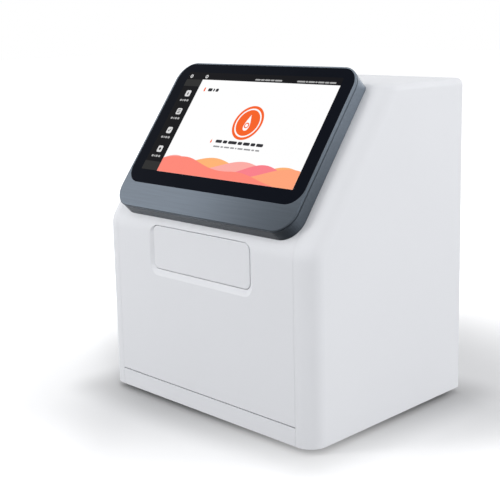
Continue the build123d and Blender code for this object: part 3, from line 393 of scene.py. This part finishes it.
def bar(x0, x1, y0, y1, radius=None, steps=6):
    """Outline of a rounded bar, with round ends where no radius is given."""
    r = min(x1 - x0, y1 - y0) / 2 if radius is None else radius
    corners = (
        (x1 - r, y1 - r, 0),
        (x0 + r, y1 - r, 90),
        (x0 + r, y0 + r, 180),
        (x1 - r, y0 + r, 270),
    )
    points = []
    for x, y, start in corners:
        for k in range(steps + 1):
            angle = math.radians(start + 90 * k / steps)
            points.append((x + r * math.cos(angle), y + r * math.sin(angle)))
    return points


def droplet(middle, size, steps=36):
    """Outline of a drop that stands on its round end."""
    points = []
    for k in range(steps):
        angle = FULL_TURN * k / steps
        taper = math.sin(angle / 2) ** DROP_POINT
        x = middle[0] + size * DROP_WIDTH * math.sin(angle) * taper
        points.append((x, middle[1] + size * math.cos(angle)))
    return points


def hump(x, middle, reach, rise):
    """One soft hump: a raised cosine of a given half width."""
    away = abs(x - middle) / reach
    return rise * (0.5 + 0.5 * math.cos(math.pi * away)) if away < 1 else 0.0


def wave(x0, x1, foot, base, humps, steps=64):
    """Outline of a wave that fills the page down to its foot."""
    points = [(x1, foot), (x0, foot)]
    for k in range(steps + 1):
        x = x0 + (x1 - x0) * k / steps
        points.append((x, base + sum(hump(x, *shape) for shape in humps)))
    return points


def text_bars(x0, x1, y, height, words, gap):
    """A line of plain bars that stands for a line of words of these relative lengths."""
    unit = (x1 - x0 - gap * (len(words) - 1)) / sum(words)
    low, high, corner = y - height / 2, y + height / 2, height / 3
    bars, x = [], x0
    for word in words:
        bars.append(bar(x, x + word * unit, low, high, corner, steps=3))
        x += word * unit + gap
    return bars


# Meshes and pieces. place(x, y, lift) gives the point of an outline's x, y.

SHEET = mm(0.03)  # thickness of a sheet, and the step from one level to the next


def close_mesh(name, made):
    """A mesh from a closed bmesh, with its faces turned outwards."""
    mesh = bpy.data.meshes.new(name)
    bmesh.ops.recalc_face_normals(made, faces=made.faces)
    made.to_mesh(mesh)
    made.free()
    return mesh


def add_loop(made, outline, level, place):
    """The points of an outline at a level."""
    return [made.verts.new(place(x, y, SHEET * level)) for x, y in outline]


def join_loops(made, one, two):
    """A band of faces between two loops."""
    for i in range(len(one)):
        j = (i + 1) % len(one)
        made.faces.new((one[i], one[j], two[j], two[i]))


def sheet_mesh(name, outlines, level, place):
    """Thin closed sheets."""
    made = bmesh.new()
    for outline in outlines:
        low = add_loop(made, outline, level, place)
        high = add_loop(made, outline, level + 1, place)
        made.faces.new(high)
        made.faces.new(low[::-1])
        join_loops(made, low, high)
    return close_mesh(name, made)


def ring_mesh(name, middle, outer, inner, level, place, steps=72):
    """A thin flat ring."""
    made = bmesh.new()
    section = ((outer, 0), (outer, 1), (inner, 1), (inner, 0))
    loops = [
        add_loop(made, disc(middle, radius, steps), level + rise, place)
        for radius, rise in section
    ]
    for one, two in zip(loops, loops[1:] + loops[:1]):
        join_loops(made, one, two)
    return close_mesh(name, made)


def add_piece(name, mesh, material, body):
    """Link a mesh as a piece that rides on a body."""
    piece = bpy.data.objects.new(name, mesh)
    bpy.context.scene.collection.objects.link(piece)
    mesh.materials.append(material)
    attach(piece, body)


def screen_piece(name, outlines, level, material):
    """Sheets on the screen."""
    mesh = sheet_mesh(name, outlines, level, screen_point)
    add_piece(name, mesh, material, "housing")


def ring_piece(name, middle, outer, inner, level, material, steps=72):
    """A flat ring on the screen."""
    mesh = ring_mesh(name, middle, outer, inner, level, screen_point, steps)
    add_piece(name, mesh, material, "housing")


# The lit screen, from its middle

LCD_HALF_MM = 77.1
LCD_TOP_MM = 42.95
PAGE_LEFT_MM = -59.1
PAGE_TOP_MM = 36.8
PAGE_LOW_MM = -42.6
AREA_CORNER_MM = 0.2
BLOCK_GAP_MM = (0.1, 0.2)  # right of a block, and above or below it
TOP_BLOCK_MM = 6.2
LOW_BLOCK_MM = 7.4

SCREEN_COLOURS = {
    "page": (1.0, 1.0, 1.0),
    "dark": (0.004, 0.004, 0.005),
    "side": (0.0045, 0.0045, 0.005),
    "block": (0.026, 0.026, 0.0245),
    "icon": (0.72, 0.72, 0.72),
    "label": (0.42, 0.42, 0.42),
    "orange": (0.93, 0.125, 0.018),
    "ink": (0.03, 0.03, 0.035),
    "grey": (0.30, 0.30, 0.31),
}

# Name, colour, left and right end, height, and humps as middle, reach and rise
WAVES_MM = (
    (
        "screen_wave_orange", (1.0, 0.46, 0.18), PAGE_LEFT_MM, LCD_HALF_MM, -36.4,
        ((-6, 44, 9.6), (64, 36, 8.8)),
    ),
    (
        "screen_wave_pink", (0.98, 0.42, 0.38), PAGE_LEFT_MM, LCD_HALF_MM, -37.0,
        ((-46, 32, 9.0), (24, 44, 9.8)),
    ),
    (
        "screen_wave_magenta", (0.96, 0.22, 0.26), 4.0, LCD_HALF_MM, -38.6,
        ((44, 38, 10.8),),
    ),
    (
        "screen_wave_apricot", (1.0, 0.38, 0.20), 18.0, LCD_HALF_MM, -39.6,
        ((70, 48, 11.0),),
    ),
    (
        "screen_wave_coral", (1.0, 0.25, 0.19), PAGE_LEFT_MM, 58.0, -42.5,
        ((-36, 50, 14.0), (20, 44, 7.0), (-60, 22, 3.0)),
    ),
)

EMBLEM_X_MM = 9.2
EMBLEM_Y_MM = 3.1
EMBLEM_RING_MM = (13.9, 11.8)
EMBLEM_DISC_MM = 10.6
EMBLEM_DROP_MM = 6.6
EMBLEM_CORE_MM = (2.3, 1.4)
CORE_DOWN_MM = 2.1
DROP_UP_MM = 0.2

# Left and right end, y, height of the bars, relative lengths of the words, and the gap
TITLE_MM = (-47.8, -36.4, 28.2, 2.7, (3, 1, 2), 1.1)
PROMPT_MM = (-13.6, 33.6, -13.5, 2.4, (3, 2, 4, 2, 3, 2, 3), 1.1)
HINT_MM = (-13.6, 32.4, -17.7, 1.2, (5, 2, 4, 3, 1, 4, 5, 2, 3), 1.1)
STATUS_LINES_MM = (
    (-4.0, 22.5, 38.6, 1.2, (3, 2, 3, 2, 4), 0.6),
    (37.0, 72.5, 38.6, 1.2, (4, 1, 3, 1, 3, 2, 3), 0.6),
)
TITLE_MARK_MM = (-52.4, -50.9, 26.6, 30.0, 0.6)
PROMPT_MARK_MM = (-18.2, -13.6)
PROMPT_DROP_MM = 1.7
STATUS_MARKS_MM = ((-73.2, 39.4), (-56.2, 39.5))
STATUS_MARK_MM = 1.5
STATUS_CORE_MM = 0.7

ICON_X_MM = -67.8
ICON_ROWS_MM = (24.1, 8.2, -8.4, -24.6)
ICON_HALF_MM = 2.7
ICON_CORNER_MM = 1.2
LABEL_ENDS_MM = (-5.4, 4.2)
LABEL_DOWN_MM = 6.1
LABEL_HEIGHT_MM = 1.7
LABEL_WORDS = (2, 1, 2, 2)
LABEL_GAP_MM = 0.7
ICON_DROP_MM = 1.5
ICON_DROP_UP_MM = 0.1
ICON_LINES_MM = (-1.6, -0.3, 1.0)
ICON_LINE_HALF_MM = 1.5
ICON_LINE_HEIGHT_MM = 0.55
ICON_TICK_MM = ((-1.5, 0), (-0.5, -1.2), (1.6, 1.1), (1.1, 1.5), (-0.5, -0.3), (-1.1, 0.4))
ICON_HUB_MM = 1.1


def area(x0, x1, y0, y1):
    """Outline of a plain area of the screen, with barely rounded corners."""
    return bar(x0, x1, y0, y1, AREA_CORNER_MM, steps=1)


def make_areas(paint):
    """Status bar, side bar and page, and the two paler ends of the side bar."""
    left, right = -LCD_HALF_MM, LCD_HALF_MM
    status = area(left, right, PAGE_TOP_MM, LCD_TOP_MM)
    screen_piece("screen_status", [status], 0, paint["dark"])
    side = area(left, PAGE_LEFT_MM, PAGE_LOW_MM, PAGE_TOP_MM)
    screen_piece("screen_side", [side], 0, paint["side"])
    page = area(PAGE_LEFT_MM, right, PAGE_LOW_MM, PAGE_TOP_MM)
    screen_piece("screen_page", [page], 0, paint["page"])
    beside, apart = BLOCK_GAP_MM
    blocks = [
        area(left, PAGE_LEFT_MM - beside, PAGE_TOP_MM - TOP_BLOCK_MM, PAGE_TOP_MM - apart),
        area(left, PAGE_LEFT_MM - beside, PAGE_LOW_MM + apart, PAGE_LOW_MM + LOW_BLOCK_MM),
    ]
    screen_piece("screen_side_blocks", blocks, 1, paint["block"])


def make_waves():
    """Coloured waves along the foot of the page, each over the one before."""
    for level, (name, colour, x0, x1, base, humps) in enumerate(WAVES_MM, 1):
        outline = wave(x0, x1, PAGE_LOW_MM, base, humps)
        screen_piece(name, [outline], level, lit(name, colour))


def make_emblem(paint):
    """A drop on a disc, inside a ring."""
    middle = (EMBLEM_X_MM, EMBLEM_Y_MM)
    ring_piece("screen_ring", middle, *EMBLEM_RING_MM, 1, paint["orange"])
    plate = disc(middle, EMBLEM_DISC_MM, steps=64)
    screen_piece("screen_disc", [plate], 1, paint["orange"])
    drop = droplet((EMBLEM_X_MM, EMBLEM_Y_MM + DROP_UP_MM), EMBLEM_DROP_MM)
    screen_piece("screen_drop", [drop], 2, paint["page"])
    core = (EMBLEM_X_MM, EMBLEM_Y_MM - CORE_DOWN_MM)
    ring_piece("screen_drop_core", core, *EMBLEM_CORE_MM, 3, paint["orange"], steps=32)


def make_words(paint):
    """Title, prompt and hint on the page."""
    screen_piece("screen_title_mark", [bar(*TITLE_MARK_MM)], 1, paint["orange"])
    screen_piece("screen_title", text_bars(*TITLE_MM), 1, paint["ink"])
    mark = droplet(PROMPT_MARK_MM, PROMPT_DROP_MM, steps=20)
    screen_piece("screen_prompt_mark", [mark], 1, paint["orange"])
    screen_piece("screen_prompt", text_bars(*PROMPT_MM), 1, paint["ink"])
    screen_piece("screen_hint", text_bars(*HINT_MM), 1, paint["grey"])


def make_icons(paint):
    """Four tiles down the side bar, each with a label below and a generic sign on it."""
    x, half = ICON_X_MM, ICON_HALF_MM
    left, right = (x + end for end in LABEL_ENDS_MM)
    for number, y in enumerate(ICON_ROWS_MM, 1):
        tile = bar(x - half, x + half, y - half, y + half, ICON_CORNER_MM)
        screen_piece(f"screen_icon_{number}", [tile], 1, paint["icon"])
        below = y - LABEL_DOWN_MM
        label = text_bars(left, right, below, LABEL_HEIGHT_MM, LABEL_WORDS, LABEL_GAP_MM)
        screen_piece(f"screen_label_{number}", label, 1, paint["label"])
    drop_y, lines_y, tick_y, hub_y = ICON_ROWS_MM
    drop = droplet((x, drop_y + ICON_DROP_UP_MM), ICON_DROP_MM, steps=20)
    screen_piece("screen_icon_drop", [drop], 2, paint["side"])
    x0, x1 = x - ICON_LINE_HALF_MM, x + ICON_LINE_HALF_MM
    feet = [lines_y + rise for rise in ICON_LINES_MM]
    lines = [bar(x0, x1, foot, foot + ICON_LINE_HEIGHT_MM) for foot in feet]
    screen_piece("screen_icon_lines", lines, 2, paint["side"])
    tick = [(x + over, tick_y + rise) for over, rise in ICON_TICK_MM]
    screen_piece("screen_icon_tick", [tick], 2, paint["side"])
    hub = disc((x, hub_y), ICON_HUB_MM, steps=24)
    screen_piece("screen_icon_hub", [hub], 2, paint["side"])


def make_status(paint):
    """Two round marks and two lines of small words on the status bar."""
    marks = [disc(middle, STATUS_MARK_MM, steps=24) for middle in STATUS_MARKS_MM]
    screen_piece("screen_status_icons", marks, 1, paint["icon"])
    cores = [disc(middle, STATUS_CORE_MM, steps=16) for middle in STATUS_MARKS_MM]
    screen_piece("screen_status_cores", cores, 2, paint["dark"])
    words = [word for line in STATUS_LINES_MM for word in text_bars(*line)]
    screen_piece("screen_status_text", words, 1, paint["label"])


def make_screen():
    """The picture on the screen, built from low to high layers."""
    paint = {key: lit("screen_" + key, colour) for key, colour in SCREEN_COLOURS.items()}
    make_areas(paint)
    make_waves()
    make_emblem(paint)
    make_words(paint)
    make_icons(paint)
    make_status(paint)


# Printed marks of the power rocker

FACES_BACK = 0.9  # least y of the normal of a face that looks to the back
MARK_LIFT = mm(0.01)
OFF_RING_MM = (1.6, 1.1)
ON_BAR_MM = (-0.3, 0.3, -1.7, 1.7)


def rocker_faces():
    """Middle and outward direction of the rocker's two flat faces, lower one first."""
    groups = {}
    for face in NODES["power_rocker"].data.polygons:
        if face.normal.y > FACES_BACK:
            key = tuple(round(part, 2) for part in face.normal)
            size, moment = groups.get(key, (0.0, Vector((0, 0, 0))))
            groups[key] = (size + face.area, moment + face.center * face.area)
    largest = sorted(groups.items(), key=lambda group: -group[1][0])[:2]
    faces = [(moment / size, Vector(key).normalized()) for key, (size, moment) in largest]
    return sorted(faces, key=lambda face: face[0].z)


def place_on(middle, out):
    """A place function for a flat face that looks to the back."""
    across = Vector((-1, 0, 0))
    up = out.cross(across).normalized()
    return lambda x, y, lift: middle + across * mm(x) + up * mm(y) + out * (MARK_LIFT + lift)


def make_rocker_marks():
    """The usual bar for on and ring for off, printed white on the two halves."""
    paint = plastic("mark_white", (0.72, 0.72, 0.71), 0.5)
    low, high = (place_on(*face) for face in rocker_faces())
    ring = ring_mesh("rocker_off", (0, 0), *OFF_RING_MM, 0, low, steps=40)
    add_piece("rocker_off", ring, paint, "rocker")
    stroke = sheet_mesh("rocker_on", [bar(*ON_BAR_MM)], 0, high)
    add_piece("rocker_on", stroke, paint, "rocker")


# Room: floor, world, lamps and camera

FLOOR_REACH = 6.0
FLOOR_SHOWN = (0.70, 0.702, 0.708)
FLOOR_BOUNCED = (0.34, 0.342, 0.346, 1)
FLOOR_FRONT = (0.70, -0.71, 0.0)
FLOOR_LEFT = (-0.71, -0.70, 0.0)
WORLD_COLOUR = (0.98, 0.985, 1.0, 1)
BACKGROUND = {"Color": (1, 1, 1, 1), "Strength": 1.0}

# Start and end of a run, and the factors or strengths there
# painted shadow: the floor's colour darkens close to the case
FLOOR_PAINTED_SHADOW = (0.0, 0.038, 0.74, 1.0)  # over the distance from the case's footprint
FLOOR_FAR_RISE = (0.15, 0.35, 0.0, 0.58)  # over the distance from the case's middle
# painted light: the floor glows in front and at the left, which cuts the shadow short there
FLOOR_FRONT_PAINTED_LIGHT = (0.02, 0.17, 0.0, 0.36)  # along FLOOR_FRONT
FLOOR_LEFT_PAINTED_LIGHT = (0.11, 0.175, 0.0, 0.20)  # along FLOOR_LEFT
WORLD_LEVELS = (0.0, 0.85, 1.27, 0.50)  # from the horizon up

LAMP_AIM = (0, 0, 0.12)
# Name, place, aim, size, and power in watts
LAMPS = (
    ("front_strip", (-0.62, -1.02, 0.72), LAMP_AIM, (0.3, 1.1), 6.2),
    ("right_side", (1.7, 0.25, 0.35), LAMP_AIM, (1.4, 0.7), 7.0),
    ("back_panel", (0.5, 2.2, 0.65), LAMP_AIM, (2.4, 1.2), 20.0),
    ("left_key", (-1.3, 0.25, 1.6), LAMP_AIM, (0.8, 0.8), 6.0),
    ("right_rim", (1.1, -0.66, 1.22), (0, 0, 0.18), (0.24, 0.24), 2.6),
)

# The camera was fitted to the straight edges of the case and display in the photograph.
CAMERA_AZIMUTH = 44.48
CAMERA_ELEVATION = 10.34
CAMERA_ROLL = -1.04
CAMERA_DISTANCE_MM = 771.85
CAMERA_TARGET_MM = (-3.77, 1.98, 141.48)
CAMERA_CLIP = (0.02, 50.0)
FOCAL_PIXELS = 1038.02
IMAGE_CENTRE = (275.57, 205.11)
IMAGE_SIZE = 500
SENSOR_MM = 36.0


def floor_colour_with_painted_shadow(tree, place):
    """The floor's colour with a painted shadow: darker close to the case, where no light gets under
    it.
    """
    footprint = (CAD_BOX[1][0], CAD_BOX[1][1], 0.0)
    outside = tree.vector("SUBTRACT", tree.vector("ABSOLUTE", place), footprint)
    outside = tree.vector("MAXIMUM", outside, (0.0, 0.0, 0.0))
    gap = tree.measure("LENGTH", outside)
    return tree.scaled(FLOOR_SHOWN, tree.smooth(gap, *FLOOR_PAINTED_SHADOW))


def floor_glow_and_painted_light(tree, place):
    """Strength added far off, where the floor turns to white, and painted light
    in front and at the left, which cuts the object's shadow short there.
    """
    glow = tree.smooth(tree.measure("LENGTH", place), *FLOOR_FAR_RISE)
    for direction, rise in ((FLOOR_FRONT, FLOOR_FRONT_PAINTED_LIGHT), (FLOOR_LEFT, FLOOR_LEFT_PAINTED_LIGHT)):
        along = tree.measure("DOT_PRODUCT", place, direction)
        glow = tree.maths("ADD", glow, tree.smooth(along, *rise))
    return glow


def make_floor():
    """A pale sweep with the object's shadow, which runs into the white background;
    painted shadow darkens it near the case and painted light brightens it in front
    and at the left.

    As a source of scattered light it is duller than it looks."""
    mesh = bpy.data.meshes.new("floor")
    reach = FLOOR_REACH
    corners = [(-reach, -reach, 0), (reach, -reach, 0), (reach, reach, 0), (-reach, reach, 0)]
    mesh.from_pydata(corners, [], [(0, 1, 2, 3)])
    floor = bpy.data.objects.new("floor", mesh)
    bpy.context.scene.collection.objects.link(floor)
    material = bpy.data.materials.new("floor_white")
    tree = Tree(material)
    tree.nodes.remove(tree.nodes["Principled BSDF"])
    place = tree.add("TexCoord").outputs["Object"]
    direct = tree.seen_directly()
    shown = tree.add("BsdfDiffuse", {"Color": floor_colour_with_painted_shadow(tree, place)}).outputs["BSDF"]
    bounced = tree.add("BsdfDiffuse", {"Color": FLOOR_BOUNCED}).outputs["BSDF"]
    seen = tree.add("MixShader", {"Fac": direct, 1: bounced, 2: shown}).outputs["Shader"]
    # the glow holds painted light in front and at the left of the case
    strength = tree.maths("MULTIPLY", floor_glow_and_painted_light(tree, place), direct)
    glow = tree.add("Emission", {"Strength": strength}).outputs["Emission"]
    total = tree.add("AddShader", {0: seen, 1: glow}).outputs["Shader"]
    tree.links.new(total, tree.nodes["Material Output"].inputs["Surface"])
    mesh.materials.append(material)


def make_world():
    """Pale light, stronger from low down; camera, mirrors and clear pieces see plain white."""
    world = bpy.data.worlds.new("studio")
    bpy.context.scene.world = world
    tree = Tree(world)
    around = tree.add("TexCoord").outputs["Generated"]
    height = tree.add("SeparateXYZ", {"Vector": around}).outputs["Z"]
    light = tree.nodes["Background"]
    light.inputs["Color"].default_value = WORLD_COLOUR
    tree.links.new(tree.smooth(height, *WORLD_LEVELS), light.inputs["Strength"])
    white = tree.add("Background", BACKGROUND).outputs["Background"]
    inputs = {"Fac": tree.seen_directly(), 1: light.outputs["Background"], 2: white}
    seen = tree.add("MixShader", inputs).outputs["Shader"]
    tree.links.new(seen, tree.nodes["World Output"].inputs["Surface"])


def make_lights():
    """Rectangular area lamps, each at its place and turned to its aim."""
    for name, place, aim, size, power in LAMPS:
        data = bpy.data.lights.new(name, "AREA")
        data.shape = "RECTANGLE"
        data.size, data.size_y = size
        data.energy = power
        lamp = bpy.data.objects.new(name, data)
        lamp.location = place
        lamp.rotation_mode = "QUATERNION"
        lamp.rotation_quaternion = (Vector(aim) - Vector(place)).to_track_quat("-Z", "Y")
        lamp.visible_camera = False
        bpy.context.scene.collection.objects.link(lamp)


def make_camera():
    """Camera at the photograph's viewing angle."""
    angles = (CAMERA_AZIMUTH, CAMERA_ELEVATION, CAMERA_ROLL)
    azimuth, elevation, roll = (math.radians(angle) for angle in angles)
    level = math.cos(elevation)
    back = Vector((math.sin(azimuth) * level, -math.cos(azimuth) * level, math.sin(elevation)))
    right = Vector((math.cos(azimuth), math.sin(azimuth), 0))
    up = back.cross(right)
    tilted_right = math.cos(roll) * right + math.sin(roll) * up
    tilted_up = math.cos(roll) * up - math.sin(roll) * right
    data = bpy.data.cameras.new("camera")
    data.sensor_width = SENSOR_MM
    data.lens = FOCAL_PIXELS / IMAGE_SIZE * SENSOR_MM
    half = IMAGE_SIZE / 2
    data.shift_x = (half - IMAGE_CENTRE[0]) / IMAGE_SIZE
    data.shift_y = (IMAGE_CENTRE[1] - half) / IMAGE_SIZE
    data.clip_start, data.clip_end = CAMERA_CLIP
    camera = bpy.data.objects.new("camera", data)
    bpy.context.scene.collection.objects.link(camera)
    place = Vector(CAMERA_TARGET_MM) * MM + back * mm(CAMERA_DISTANCE_MM)
    facing = Matrix((tilted_right, tilted_up, back)).transposed()
    camera.matrix_world = Matrix.Translation(place) @ facing.to_4x4()
    bpy.context.scene.camera = camera


make_finishes()
smooth_nodes()
make_screen()
make_rocker_marks()
make_floor()
make_world()
make_lights()
make_camera()
bpy.context.scene.view_settings.view_transform = "Standard"
